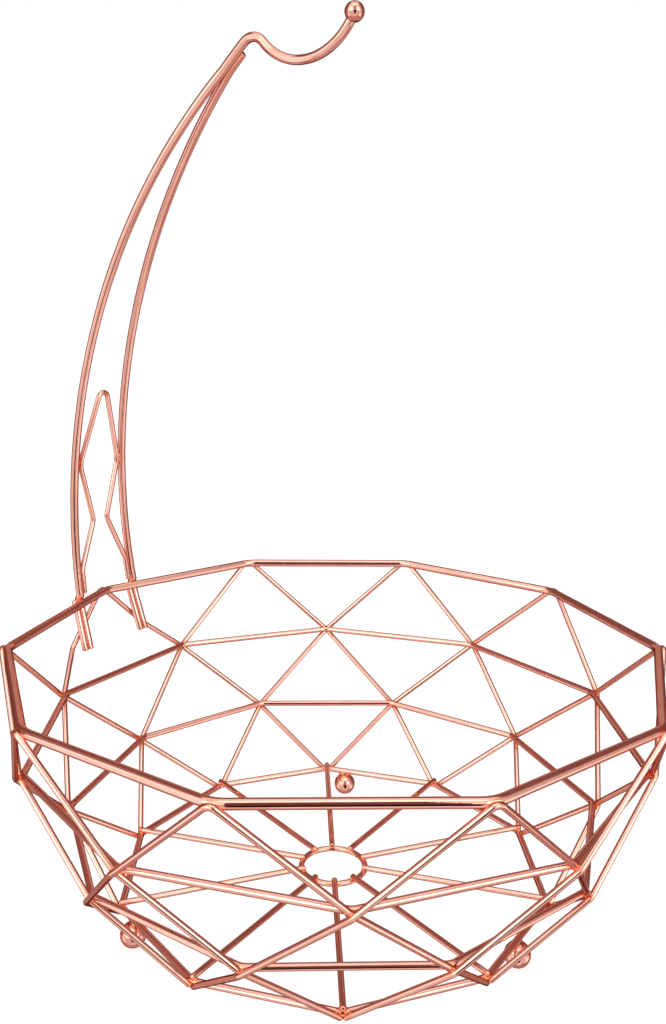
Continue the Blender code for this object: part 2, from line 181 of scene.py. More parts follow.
# The floor and the plain backdrop.
FLOOR_REACH = 6.0
FLOOR_GREY = (0.40, 0.40, 0.40, 1)
FLOOR_GLOW = 0.75               # it makes the lit grey paint as white as the backdrop
FLOOR_ROUGHNESS = 0.9
FLOOR_SHINE = 0.1
WHITE = (1, 1, 1, 1)
PLAIN_LEVEL = 1.00

# The studio that the metal reflects. Each panel covers the ones before it. It has its left and right azimuth,
# counted from the camera's direction and positive to the camera's right, its lower and upper height above the
# horizon, all in degrees, the softness of its edges and its brightness.
DIM_ROOM = 0.25
PANELS = (
    (-400, 400, -60, 12, 3, 0.35),          # a dim sweep all round
    (148, 400, -6, 26, 4, 0.62),            # the light it catches behind the basket
    (-400, -148, -6, 26, 4, 0.62),
    (142, 400, -60, -8, 4, 0.19),           # and the shade under that
    (-400, -142, -60, -8, 4, 0.22),
    (104, 146, -60, -20, 3, 0.66),          # the table on both sides
    (-146, -104, -60, -20, 3, 0.76),
    (76, 94, -45, 58, 2, 0.72),             # side walls
    (-112, -80, -45, 52, 2, 0.42),
    (-400, 400, -95, -60, 4, 0.60),         # the table under the basket
    (-92, 0, -60, -5, 2, 0.86),             # and towards the camera
    (0, 80, -60, -5, 2, 1.08),
    (26, 60, -60, -5, 2, 0.84),
    (60, 80, -40, -5, 2, 0.92),
    (34, 92, -62, -44, 3, 0.48),            # shade across it
    (-92, -60, -62, -44, 3, 0.54),
    (66, 94, -38, -14, 3, 1.60),            # and light
    (-94, -64, -38, -14, 3, 1.45),
    (-84, 0, -5, 58, 2, 1.45),              # cloth walls on the left and right of the camera
    (0, 76, -5, 58, 2, 1.30),
    (60, 76, -5, 58, 2, 0.86),              # the right one dimmer at its far end
    (-58, -24, 2, 38, 2, 3.00),             # and the lamps behind them
    (27, 60, 2, 36, 2, 2.90),
    (-400, 400, 58, 95, 3, 1.10),           # the cloth overhead
    (-50, 60, 56, 80, 2, 2.20),             # and its lamp
    (-14, 22, -13, 2, 2, 0.02),             # the camera
    (-4, 17, -36, -11, 2, 0.02),            # on its stand
    (-6, 13, 2, 20, 1, 0.17),               # and the gap between the walls above it
    (-6, 12, 20, 46, 1, 0.16),
)
# The seam between the cloth walls and the cloth overhead is a dark line that sinks towards the sides.
SEAM_TOP = 51
SEAM_SINKS = 0.65
SEAM_HALF_WIDTH = 1.8
SEAM_LEVEL = 0.16
# The dimmer a place, the more its light has come off the reddish wires: (brightness, colour).
WARMTH = ((0.0, (1, 0.30, 0.27)), (0.26, (1, 0.52, 0.48)), (0.60, (1, 0.77, 0.74)), (0.90, (1, 1, 1)))


# Points and paths -------------------------------------------------------------------------------------------


def polar(radius, degrees, z):
    angle = math.radians(degrees)
    return Vector((radius * math.cos(angle), radius * math.sin(angle), z))


def numbered(name, index):
    return f"{name}_{index + 1:02d}"


def bend(before, corner, after, radius):
    """Points of the arc that rounds this corner of a path."""
    incoming = (corner - before).normalized()
    outgoing = (after - corner).normalized()
    turn = incoming.angle(outgoing)
    if turn < math.radians(LEAST_TURN) or radius <= 0:
        return [corner]
    inward = (outgoing - incoming).normalized()
    centre = corner + inward * (radius / math.cos(turn / 2))
    start = corner - incoming * (radius * math.tan(turn / 2)) - centre
    axis = incoming.cross(outgoing).normalized()
    count = max(3, math.ceil(math.degrees(turn) / BEND_STEP))
    return [centre + Matrix.Rotation(turn * i / count, 3, axis) @ start for i in range(count + 1)]


def rounded_path(corners, radii, closed=False):
    """The path through these corners, each rounded by its bend radius."""
    last = len(corners) - 1
    path = []
    for i, corner in enumerate(corners):
        if not closed and i in (0, last):
            path.append(corner)
        else:
            path += bend(corners[i - 1], corner, corners[(i + 1) % len(corners)], radii[i])
    return path


def filled_in(path, closed):
    """The path with extra points on its long straight stretches."""
    following = path[1:] + path[:1] if closed else path[1:]
    points = []
    for here, there in zip(path, following):
        count = max(1, math.ceil((there - here).length / LONGEST_STRETCH))
        points += [here.lerp(there, i / count) for i in range(count)]
    return points if closed else points + [path[-1]]


def ring_size(node):
    """(corner radius, z) of a ring's wire, from its solid's box."""
    low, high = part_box(node)
    half_wire = (high.z - low.z) / 2
    return max(high.x, high.y) - half_wire, (low.z + high.z) / 2


RINGS = ("rim_ring", "upper_ring", "lower_ring", "base_ring")
LEVELS = [ring_size(node) for node in RINGS]
RIM_CORNER, RIM_Z = LEVELS[0]
BASE_CORNER, BASE_Z = LEVELS[3]
SPOKE_Z = sum(corner.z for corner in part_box("spoke_01")) / 2
HUB_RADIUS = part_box("hub_ring")[1].x - HUB_WIRE
FOOT_Z = math.sqrt(FOOT_BALL**2 - FOOT_FLAT**2)


def ring_wire_radius(level):
    return RIM_WIRE if level == 0 else RING_WIRE


def corner_angles(level):
    """Directions of a ring's corners. Each ring is turned by half a side from the one above."""
    first = HALF_SIDE * (level % 2)
    return [first + SIDE_ANGLE * i for i in range(SIDES)]


def sharp_corner(corner_radius, bend_radius):
    """Radius of the corner that a bend of this radius rounds down to corner_radius."""
    return corner_radius + bend_radius * (1 / math.cos(math.radians(HALF_SIDE)) - 1)


def ring_path(level):
    radius, z = LEVELS[level]
    bend_radius = RIM_BEND if level == 0 else RING_BEND
    sharp = sharp_corner(radius, bend_radius)
    corners = [polar(sharp, degrees, z) for degrees in corner_angles(level)]
    return rounded_path(corners, [bend_radius] * SIDES, closed=True)


def wall_normal(level):
    """Outward normal of the wall at a ring, as (radius, z)."""
    stretches = [(i, i + 1) for i in (level - 1, level) if 0 <= i < len(LEVELS) - 1]
    total = Vector((0, 0))
    for upper, lower in stretches:
        along = Vector(LEVELS[lower]) - Vector(LEVELS[upper])
        total += Vector((-along.y, along.x)).normalized()
    return total.normalized()


def outside_ring(level, degrees, reach):
    """A point outside a ring's wire, reach away from its centre line along the wall's normal."""
    radius, z = LEVELS[level]
    normal = wall_normal(level)
    return polar(radius + normal.x * reach, degrees, z + normal.y * reach)


def crossing(level, degrees, layer):
    """Where a lattice wire crosses a ring's corner, in layer 0 on the ring or in layer 1 on another wire."""
    reach = (RING_WIRE + LATTICE_WIRE) * (1 - SET_IN) + layer * 2 * LATTICE_WIRE * (1 - SET_IN)
    return outside_ring(level, degrees, reach)


def lattice_leg(turn, layer):
    """Corners of one leg below the hairpin's top. It goes one way round with turn 1, the other with -1."""
    short = math.degrees(END_SPACING / 2 / BASE_CORNER)
    end = crossing(3, turn * (HALF_SIDE * 3 - short), 0)
    return [crossing(1, turn * HALF_SIDE, layer), crossing(2, turn * HALF_SIDE * 2, layer), end]


def hairpin_top():
    rise = HAIRPIN_BEND * (math.sqrt(2) - 1)
    return Vector((RIM_CORNER + RIM_WIRE + LATTICE_WIRE, 0, RIM_Z + rise))


def hairpin_path(with_pocket):
    """One lattice wire, for the rim corner at angle 0."""
    anticlockwise = lattice_leg(1, 0)
    clockwise = lattice_leg(-1, 1)
    if with_pocket:
        anticlockwise.insert(0, Vector((POCKET_OUT, POCKET_SIDE, RIM_Z - POCKET_DROP)))
        clockwise.insert(0, Vector((POCKET_OUT, -POCKET_SIDE, RIM_Z - POCKET_DROP)))
    corners = anticlockwise[::-1] + [hairpin_top()] + clockwise
    radii = [LATTICE_BEND] * len(corners)
    radii[len(anticlockwise)] = HAIRPIN_BEND
    return rounded_path(corners, radii)


# The hanger's lines -----------------------------------------------------------------------------------------


def hanger_point(out, side, z):
    return Matrix.Rotation(math.radians(HANGER_ANGLE), 3, "Z") @ Vector((out, side, z))


def leg_angle(rise):
    """The angle on the legs' arc at this height above the rim."""
    return math.degrees(math.asin((rise - BULGE_RISE) / LEG_ARC))


def leg_spread(degrees):
    """Half the distance between the legs at this angle on their arc."""
    if degrees >= LEGS_MEET:
        return SPREAD_TOP
    lowest = leg_angle(LEG_END_RISE)
    share = (degrees - lowest) / (LEGS_MEET - lowest)
    left = SPREAD_TAPER * (1 - share) + (1 - SPREAD_TAPER) * (1 - share**SPREAD_POWER)
    return SPREAD_TOP + (SPREAD_RIM - SPREAD_TOP) * left


def leg_point(degrees, side):
    angle = math.radians(degrees)
    out = BULGE_OUT - LEG_ARC + LEG_ARC * math.cos(angle)
    z = RIM_Z + BULGE_RISE + LEG_ARC * math.sin(angle)
    return hanger_point(out, side * leg_spread(degrees), z)


def leg_path(top, side):
    lowest = leg_angle(LEG_END_RISE)
    count = math.ceil((top - lowest) / LONG_ARC_STEP)
    return [leg_point(lowest + (top - lowest) * i / count, side) for i in range(count + 1)]


def peak_angle():
    """The angle on the legs' arc where the top bend starts."""
    return math.degrees(math.acos((PEAK_OUT - BULGE_OUT + LEG_ARC) / (LEG_ARC - PEAK_BEND)))


def second_leg_top():
    return peak_angle() - math.degrees(LEG_STOP / LEG_ARC)


def peak_centre():
    angle = math.radians(peak_angle())
    return PEAK_OUT, RIM_Z + BULGE_RISE + (LEG_ARC - PEAK_BEND) * math.sin(angle)


def cup_centre():
    out, z = peak_centre()
    slope = math.radians(CUP_START)
    reach = PEAK_BEND + CUP_RADIUS
    return out - reach * math.sin(slope), z + reach * math.cos(slope)


def arc_points(centre, radius, first, last):
    """An arc in the hanger's plane; angles in degrees from straight up, positive towards the rim."""
    count = math.ceil(abs(last - first) / BEND_STEP)
    angles = [math.radians(first + (last - first) * i / count) for i in range(count + 1)]
    return [
        hanger_point(centre[0] + radius * math.sin(a), SPREAD_TOP, centre[1] + radius * math.cos(a))
        for a in angles
    ]


def spine_path():
    """Up one leg, over the top bend and down round the hook's cup."""
    climb = leg_path(peak_angle(), 1)
    top = arc_points(peak_centre(), PEAK_BEND, 90 - peak_angle(), -CUP_START)
    cup = arc_points(cup_centre(), CUP_RADIUS, 180 - CUP_START, 180 + CUP_END)
    return climb + top[1:] + cup[1:]


def diamond_point(rise, side):
    angle = math.radians(leg_angle(rise))
    return hanger_point(BULGE_OUT - LEG_ARC + LEG_ARC * math.cos(angle), side, RIM_Z + rise)


def beside_leg(rise):
    """Half the distance between the diamond's two sides where they touch the legs from inside."""
    return leg_spread(leg_angle(rise)) - HANGER_WIRE - DIAMOND_WIRE + TOUCH


def diamond_path():
    end, knee, waist, touch, top = DIAMOND_RISES
    sides = (beside_leg(end), beside_leg(knee), DIAMOND_WAIST, beside_leg(touch))
    half = list(zip((end, knee, waist, touch), sides))
    up = [diamond_point(rise, side) for rise, side in half]
    down = [diamond_point(rise, -side) for rise, side in reversed(half)]
    corners = up + [diamond_point(top, DIAMOND_TOP_SIDE)] + down
    return rounded_path(corners, DIAMOND_BENDS + DIAMOND_BENDS[-2::-1])


def pin_path(side, place):
    """A pin below one leg. Place is -1 or 1 for the two pins of a pair, and 0 for the line between them."""
    slope = math.tan(math.radians(HALF_SIDE))
    rim_out = sharp_corner(RIM_CORNER, RIM_BEND) - SPREAD_RIM * slope
    out = rim_out + PIN_TOP_OFFSET / math.cos(math.radians(HALF_SIDE))
    across = side * SPREAD_RIM + place * (PIN_WIRE - TOUCH / 2)
    lean = math.radians(PIN_LEAN)
    splay = math.radians(PIN_SPLAY)
    down = Vector((-math.sin(lean), side * math.sin(splay), -math.cos(lean))) * PIN_LENGTH
    top = Vector((out, across, RIM_Z + PIN_TOP_RISE))
    return [hanger_point(*top), hanger_point(*(top + down))]


# Meshes -----------------------------------------------------------------------------------------------------


def stray(points):
    """The slight waves that drawing and bending leave in a wire."""
    return [p + noise.noise_vector(p * WAVES_PER_METRE) * DRAWING_WAVE for p in points]


def tangents_of(points, closed):
    pts = np.array(points)
    if closed:
        t = np.roll(pts, -1, 0) - np.roll(pts, 1, 0)
    else:
        t = np.gradient(pts, axis=0)
    return t / np.linalg.norm(t, axis=1)[:, None]


def normals_along(tangents):
    """Normals that turn with the path and don't twist about it. The first points up where it can."""
    steep = abs(tangents[0][2]) >= STEEP
    start = Vector(tangents[0]).orthogonal().normalized() if steep else Vector((0, 0, 1))
    normal = np.array(start)
    normals = []
    for t in tangents:
        normal = normal - t * normal.dot(t)
        normal /= np.linalg.norm(normal)
        normals.append(normal)
    return np.array(normals)


def end_centres(end, outward, wire_radius):
    """Centres of the sections that round off a cut end."""
    return [end + outward * along * wire_radius for along, out in CUT_PROFILE]


def tube_faces(sections, closed):
    """Faces between a wire's sections, and those that close the two ends of an open wire."""
    faces = []
    for i in range(sections if closed else sections - 1):
        here = i * SECTION_SIDES
        there = (i + 1) % sections * SECTION_SIDES
        for k in range(SECTION_SIDES):
            after = (k + 1) % SECTION_SIDES
            faces.append((here + k, here + after, there + after, there + k))
    if not closed:
        tips = sections * SECTION_SIDES
        last = tips - SECTION_SIDES
        for k in range(SECTION_SIDES):
            after = (k + 1) % SECTION_SIDES
            faces.append((after, k, tips))
            faces.append((last + k, last + after, tips + 1))
    return faces


def wire_piece(name, path, wire_radius, closed=False, welds=()):
    """A smooth round wire. An open one has cut ends with rounded edges. Round its welds it is coloured with
    heat marks and painted reflection.
    """
    points = stray(filled_in(path, closed))
    tangents = tangents_of(points, closed)
    normals = normals_along(tangents)
    centres = [np.array(p) for p in points]
    radii = [wire_radius] * len(centres)
    if not closed:
        first = end_centres(centres[0], -tangents[0], wire_radius)
        last = end_centres(centres[-1], tangents[-1], wire_radius)
        centres = first[::-1] + centres + last
        rounding = [out * wire_radius for along, out in CUT_PROFILE]
        radii = rounding[::-1] + radii + rounding
        extra = ((len(rounding), len(rounding)), (0, 0))
        tangents = np.pad(tangents, extra, mode="edge")
        normals = np.pad(normals, extra, mode="edge")
    centres = np.array(centres)
    binormals = np.cross(tangents, normals)
    around = 2 * math.pi * np.arange(SECTION_SIDES) / SECTION_SIDES
    cosines, sines = np.cos(around), np.sin(around)
    circle = normals[:, None, :] * cosines[None, :, None] + binormals[:, None, :] * sines[None, :, None]
    verts = (centres[:, None, :] + circle * np.array(radii)[:, None, None]).reshape(-1, 3)

    lengths = np.concatenate([[0], np.cumsum(np.linalg.norm(np.diff(centres, axis=0), axis=1))])
    across = np.tile(np.stack([cosines, sines], 1) * wire_radius, (len(centres), 1))
    drawn = np.column_stack([across, np.repeat(lengths * DRAWN_STRETCH, SECTION_SIDES)])
    if not closed:
        first_tip = centres[0] - tangents[0] * CUT_CENTRE * wire_radius
        last_tip = centres[-1] + tangents[-1] * CUT_CENTRE * wire_radius
        verts = np.vstack([verts, first_tip, last_tip])
        drawn = np.vstack([drawn, np.zeros((2, 3))])
    return piece_from(name, verts, tube_faces(len(centres), closed), heat_and_reflection_from(welds, verts), drawn)


def heat_and_reflection_from(welds, verts):
    """How much the nearest weld colours each vertex, from 0 to 1, with its heat mark and painted reflection.
    """
    heat_and_reflection = np.zeros(len(verts))
    for place in welds:
        distance = np.linalg.norm(np.array(verts) - np.array(place), axis=1)
        heat_and_reflection = np.maximum(heat_and_reflection, np.clip(1 - distance / WELD_REACH, 0, 1) ** HEAT_AND_REFLECTION_FADE)
    return heat_and_reflection


def piece_from(name, verts, faces, heat_and_reflection, drawn):
    """An object of this mesh, with the weld colour (heat mark and painted reflection) and the drawing lines'
    coordinates of its vertices.
    """
    mesh = bpy.data.meshes.new(name)
    mesh.from_pydata([tuple(v) for v in verts], [], faces)
    mesh.update()
    mesh.shade_smooth()
    attribute = mesh.attributes.new("weld_heat_and_reflection", "FLOAT", "POINT")
    attribute.data.foreach_set("value", heat_and_reflection.astype(np.float32))
    grain = mesh.attributes.new("drawn", "FLOAT_VECTOR", "POINT")
    grain.data.foreach_set("vector", np.array(drawn, np.float32).ravel())
    obj = bpy.data.objects.new(name, mesh)
    bpy.context.scene.collection.objects.link(obj)
    return obj


def globe(segments, rings):
    """Points of a unit ball, ring by ring along its first axis and then its two tips, and its faces."""
    points = []
    for j in range(1, rings):
        polar_angle = math.pi * j / rings
        out = math.sin(polar_angle)
        for i in range(segments):
            angle = 2 * math.pi * i / segments
            points.append((math.cos(polar_angle), out * math.cos(angle), out * math.sin(angle)))
    first_tip = len(points)
    points += [(1, 0, 0), (-1, 0, 0)]
    faces = []
    last_ring = first_tip - segments
    for i in range(segments):
        after = (i + 1) % segments
        for start in range(0, last_ring, segments):
            faces.append((start + i, start + segments + i, start + segments + after, start + after))
        faces.append((first_tip, i, after))
        faces.append((first_tip + 1, last_ring + after, last_ring + i))
    return points, faces


def bead_points(units, place, direction, size, seed):
    """One bead of weld metal: a lumpy ball, drawn out along its direction."""
    length, thickness = size
    along = direction.normalized()
    side = along.orthogonal().normalized()
    other_side = along.cross(side)
    points = []
    for unit in units:
        lump = 1 + BEAD_LUMPS * noise.noise(Vector(unit) * BEAD_LUMP_SCALE + Vector((seed, 0, 0)))
        points.append(place + along * (unit[0] * length * lump) + side * (unit[1] * thickness * lump)
                      + other_side * (unit[2] * thickness * lump))
    return points


def beads_piece(name, beads):
    """All of a group's beads; each is (place, direction, size)."""
    units, globe_faces = globe(BEAD_SEGMENTS, BEAD_RINGS)
    verts, faces = [], []
    for i, (place, direction, size) in enumerate(beads):
        faces += [tuple(k + len(verts) for k in face) for face in globe_faces]
        verts += bead_points(units, place, direction, size, i * BEAD_SEED_STEP)
    # every bead is painted all over in the weld colour: heat mark and painted reflection
    return piece_from(name, verts, faces, np.ones(len(verts)), verts)


def ball_piece(name, place, radius, flat_radius=0.0, welds=()):
    """A smooth ball, with a small worn flat underneath where flat_radius isn't zero."""
    units, faces = globe(BALL_SEGMENTS, BALL_RINGS)
    lowest = -math.sqrt(radius**2 - flat_radius**2)
    verts = [place + Vector((x * radius, y * radius, max(z * radius, lowest))) for z, x, y in units]
    return piece_from(name, verts, faces, heat_and_reflection_from(welds, verts), verts)


# Materials --------------------------------------------------------------------------------------------------


def new_node(tree, kind, inputs):
    """A node whose inputs, given by name or number, are constants or other nodes' outputs."""
    node = tree.nodes.new(kind)
    feed(tree, node, inputs)
    return node


def feed(tree, node, inputs):
    """Set these inputs of a node, or link them to other nodes' outputs."""
    for key, value in inputs.items():
        if isinstance(value, bpy.types.NodeSocket):
            tree.links.new(value, node.inputs[key])
        else:
            node.inputs[key].default_value = value


def cloud(tree, place, texture):
    scale, detail = texture
    inputs = {"Scale": scale, "Detail": detail, "Vector": place}
    return new_node(tree, "ShaderNodeTexNoise", inputs).outputs["Fac"]


def spread(tree, value, low, high, to_low, to_high):
    """A value between low and high, moved to between to_low and to_high."""
    inputs = {"From Min": low, "From Max": high, "To Min": to_low, "To Max": to_high, "Value": value}
    return new_node(tree, "ShaderNodeMapRange", inputs).outputs["Result"]


def blended(tree, factor, first, second):
    """A blend of two colours."""
    mix = tree.nodes.new("ShaderNodeMix")
    mix.data_type = "RGBA"
    feed(tree, mix, {"Factor": factor, "A": first, "B": second})
    return mix.outputs["Result"]


def calculated(tree, operation, *inputs):
    node = tree.nodes.new("ShaderNodeMath")
    node.operation = operation
    feed(tree, node, dict(enumerate(inputs)))
    return node.outputs["Value"]


def attribute_of(tree, name):
    node = tree.nodes.new("ShaderNodeAttribute")
    node.attribute_name = name
    return node.outputs


def plating(name, colour, deep_colour, roughness):
    """Polished rose-gold plating: cloudy colour, faint drawing lines, and heat marks and painted reflection
    round the welds.
    """
    material = bpy.data.materials.new(name)
    material.use_nodes = True
    tree = material.node_tree
    place = tree.nodes.new("ShaderNodeTexCoord").outputs["Object"]
    heat_and_reflection = attribute_of(tree, "weld_heat_and_reflection")["Fac"]

    clouds = spread(tree, cloud(tree, place, COLOUR_CLOUDS), *COLOUR_CLOUD_RANGE, 0, 1)
    clouded = blended(tree, clouds, (*colour, 1), (*deep_colour, 1))
    least, most = [roughness * share for share in WEAR]
    wear = spread(tree, cloud(tree, place, WEAR_CLOUDS), *WEAR_CLOUD_RANGE, least, most)
    hot = spread(tree, heat_and_reflection, 0, 1, 0, HEAT_ROUGHNESS)

    lines = cloud(tree, attribute_of(tree, "drawn")["Vector"], DRAWN_LINES)
    dents = cloud(tree, place, DENTS)
    normal = {}
    for texture, (strength, depth) in ((lines, DRAWN_BUMP), (dents, DENT_BUMP)):
        inputs = {"Strength": strength, "Distance": depth, "Height": texture, **normal}
        normal = {"Normal": new_node(tree, "ShaderNodeBump", inputs).outputs["Normal"]}

    feed(tree, tree.nodes["Principled BSDF"], {
        # the weld colour round the welds: heat mark and painted reflection
        "Base Color": blended(tree, heat_and_reflection, clouded, (*HEAT_AND_REFLECTION_COLOUR, 1)),
        "Metallic": 1.0,
        "Specular Tint": EDGE_TINT,
        "Coat Weight": COAT,
        "Coat Roughness": COAT_ROUGHNESS,
        "Roughness": calculated(tree, "ADD", wear, hot),
        **normal,
    })
    return material


def finish_piece(obj, body, material, slot, *nodes):
    obj.data.materials.append(material)
    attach(obj, body)
    if nodes:
        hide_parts(*nodes)


# The basket -------------------------------------------------------------------------------------------------


def add_rings(material):
    """The four rings, with heat marks and painted reflection where the lattice is welded to their corners."""
    for level, node in enumerate(RINGS):
        radius, z = LEVELS[level]
        welds = [polar(radius + RING_WIRE, degrees, z) for degrees in corner_angles(level)]
        ring = wire_piece(node + "_wire", ring_path(level), ring_wire_radius(level), True, welds)
        finish_piece(ring, "basket", material, "frame_wire_plating", node)


def add_lattice(material):
    for i in range(SIDES):
        turn = SIDE_ANGLE * i
        spin = Matrix.Rotation(math.radians(turn), 3, "Z")
        path = [spin @ p for p in hairpin_path(turn == HANGER_ANGLE)]
        welds = [spin @ (hairpin_top() - Vector((LATTICE_WIRE, 0, 0)))]
        for level in (1, 2, 3):
            welds += [spin @ crossing(level, side * HALF_SIDE * level, 0) for side in BOTH_SIDES]
        node = numbered("lattice_wire", i)
        wire = wire_piece(node + "_bent", path, LATTICE_WIRE, False, welds)
        finish_piece(wire, "basket", material, "slim_wire_plating", node)


def add_lattice_welds(material):
    """A bead on every ring's corners, and one between the two legs that cross at a middle ring's corner."""
    beads = []
    for level in range(len(LEVELS)):
        for degrees in corner_angles(level):
            place = outside_ring(level, degrees, ring_wire_radius(level))
            beads.append((place, polar(1, degrees + 90, 0), CORNER_BEAD))
            if level in (1, 2):
                between = crossing(level, degrees, CROSSING_BEAD_LAYER)
                beads.append((between, Vector((0, 0, 1)), CROSSING_BEAD))
    finish_piece(beads_piece("lattice_weld_beads", beads), "basket", material, "frame_wire_plating")


def spoke_ends():
    """How far from the axis the spokes start and end, from the box of the one that lies along Y."""
    low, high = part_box("spoke_03")
    return low.y + SPOKE_WIRE, high.y - SPOKE_WIRE


def add_floor_wires(material):
    """The spokes, set into the base ring, and the hub ring, set into the spokes from below."""
    inner, outer = spoke_ends()
    z = SPOKE_Z - SET_IN * (RING_WIRE + SPOKE_WIRE)
    hub_z = z - (HUB_WIRE + SPOKE_WIRE) * (1 - SET_IN)
    beads = []
    hub_welds = []
    for i in range(SIDES):
        degrees = HALF_SIDE + SIDE_ANGLE * i
        at_hub = polar(HUB_RADIUS, degrees, (z + hub_z) / 2)
        at_ring = polar(BASE_CORNER, degrees, (z + BASE_Z) / 2)
        path = [polar(inner, degrees, z), polar(outer, degrees, z)]
        node = numbered("spoke", i)
        spoke = wire_piece(node + "_wire", path, SPOKE_WIRE, False, [at_hub, at_ring])
        finish_piece(spoke, "basket", material, "floor_wire_plating", node)
        across = polar(1, degrees + 90, 0)
        beads += [(at_hub, across, HUB_BEAD), (at_ring, across, SPOKE_BEAD)]
        hub_welds.append(at_hub)
    circle = [polar(HUB_RADIUS, 360 / HUB_POINTS * i, hub_z) for i in range(HUB_POINTS)]
    hub = wire_piece("hub_ring_wire", circle, HUB_WIRE, True, hub_welds)
    finish_piece(hub, "basket", material, "floor_wire_plating", "hub_ring")
    finish_piece(beads_piece("floor_weld_beads", beads), "basket", material, "floor_wire_plating")


def add_feet(material):
    """Ball feet, each welded to the base ring's underside."""
    beads = []
    for i in range(FEET):
        node = numbered("foot_ball", i)
        low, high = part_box(node)
        centre = (low + high) / 2
        place = Vector((centre.x, centre.y, FOOT_Z))
        weld = Vector((centre.x, centre.y, BASE_Z - RING_WIRE))
        ball = ball_piece(node + "_ball", place, FOOT_BALL, FOOT_FLAT, [weld])
        finish_piece(ball, "basket", material, "ball_plating", node)
        beads.append((weld, Vector((-centre.y, centre.x, 0)), FOOT_BEAD))
    finish_piece(beads_piece("foot_weld_beads", beads), "basket", material, "ball_plating")


# The hanger -------------------------------------------------------------------------------------------------


def legs_weld():
    """Places up the weld where the legs meet."""
    return [leg_point(LEGS_MEET + LEGS_WELD_STEP * i, 0) for i in range(LEGS_WELD_MARKS)]


def touch_welds():
    """Where the diamond is welded to the legs."""
    touch = DIAMOND_RISES[3]
    return [diamond_point(touch, side * (beside_leg(touch) + DIAMOND_WIRE)) for side in BOTH_SIDES]


def hanger_beads():
    beads = [(place, Vector((0, 0, 1)), DIAMOND_BEAD) for place in touch_welds()]
    for side in BOTH_SIDES:
        pins_top, pins_bottom = pin_path(side, 0)
        leg_end = leg_point(leg_angle(LEG_END_RISE), side)
        beads.append(((leg_end + pins_top) / 2, leg_end - pins_top, LEG_END_BEAD))
        beads.append((pins_top.lerp(pins_bottom, PIN_BEAD_PLACE), pins_bottom - pins_top, PIN_BEAD))
    first, last = legs_weld()[0], leg_point(second_leg_top(), 0)
    beads.append((first.lerp(last, 0.5), last - first, ((last - first).length / 2, LEGS_BEAD_THICKNESS)))
    return beads


def add_hanger(material, slim_material, ball_material):
    shared_welds = legs_weld() + touch_welds()
    pins_tops = {side: pin_path(side, 0)[0] for side in BOTH_SIDES}
    spine_line = spine_path()
    ball_centre = spine_line[-1]

    spine_welds = shared_welds + [pins_tops[1], ball_centre]
    spine = wire_piece("hanger_spine_wire", spine_line, HANGER_WIRE, False, spine_welds)
    finish_piece(spine, "hanger", material, "frame_wire_plating", "hanger_spine")
    leg_welds = shared_welds + [pins_tops[-1], leg_point(peak_angle() - LEG_WELD, 0)]
    leg = wire_piece("hanger_leg_wire", leg_path(second_leg_top(), -1), HANGER_WIRE, False, leg_welds)
    finish_piece(leg, "hanger", material, "frame_wire_plating", "hanger_leg")
    diamond = wire_piece("hanger_diamond_wire", diamond_path(), DIAMOND_WIRE, False, touch_welds())
    finish_piece(diamond, "hanger", slim_material, "slim_wire_plating", "hanger_diamond")
    pins = [(side, place) for side in BOTH_SIDES for place in (-1, 1)]
    for i, (side, place) in enumerate(pins):
        node = numbered("hanger_pin", i)
        pin = wire_piece(node + "_wire", pin_path(side, place), PIN_WIRE, False, [pins_tops[side]])
        finish_piece(pin, "hanger", slim_material, "slim_wire_plating", node)
    ball = ball_piece("hook_ball_end", ball_centre, HOOK_BALL)
    finish_piece(ball, "hanger", ball_material, "ball_plating", "hook_ball")
    finish_piece(beads_piece("hanger_weld_beads", hanger_beads()), "hanger", material, "frame_wire_plating")


# The studio -------------------------------------------------------------------------------------------------


def add_floor_plane():
    """A wide floor, as white as the backdrop. The metal reflects the studio's table and not this floor."""
    corners = [(-FLOOR_REACH, -FLOOR_REACH, 0), (FLOOR_REACH, -FLOOR_REACH, 0),
               (FLOOR_REACH, FLOOR_REACH, 0), (-FLOOR_REACH, FLOOR_REACH, 0)]
    mesh = bpy.data.meshes.new("studio_floor")
    mesh.from_pydata(corners, [], [(0, 1, 2, 3)])
    floor = bpy.data.objects.new("studio_floor", mesh)
    bpy.context.scene.collection.objects.link(floor)
    material = bpy.data.materials.new("studio_floor_paint")
    material.use_nodes = True
    feed(material.node_tree, material.node_tree.nodes["Principled BSDF"], {
        "Base Color": FLOOR_GREY,
        "Emission Color": WHITE,
        "Emission Strength": FLOOR_GLOW,
        "Roughness": FLOOR_ROUGHNESS,
        "Specular IOR Level": FLOOR_SHINE,
    })
    mesh.materials.append(material)
    floor.visible_glossy = False


def part_along(tree, direction, axis):
    """The part of a direction that lies along this axis."""
    node = tree.nodes.new("ShaderNodeVectorMath")
    node.operation = "DOT_PRODUCT"
    feed(tree, node, {0: direction, 1: axis})
    return node.outputs["Value"]


def step(tree, value, place, softness):
    """0 where the value is below this place, 1 above it, and a soft edge between."""
    node = tree.nodes.new("ShaderNodeMapRange")
    node.interpolation_type = "SMOOTHSTEP"
    feed(tree, node, {"From Min": place - softness, "From Max": place + softness, "Value": value})
    return node.outputs["Result"]


def band(tree, value, low, high, softness):
    """1 where the value is between low and high, 0 elsewhere, with soft edges."""
    return calculated(tree, "SUBTRACT", step(tree, value, low, softness), step(tree, value, high, softness))


def mixed(tree, factor, first, second):
    """A blend of two numbers."""
    return new_node(tree, "ShaderNodeMix", {"Factor": factor, "A": first, "B": second}).outputs["Result"]


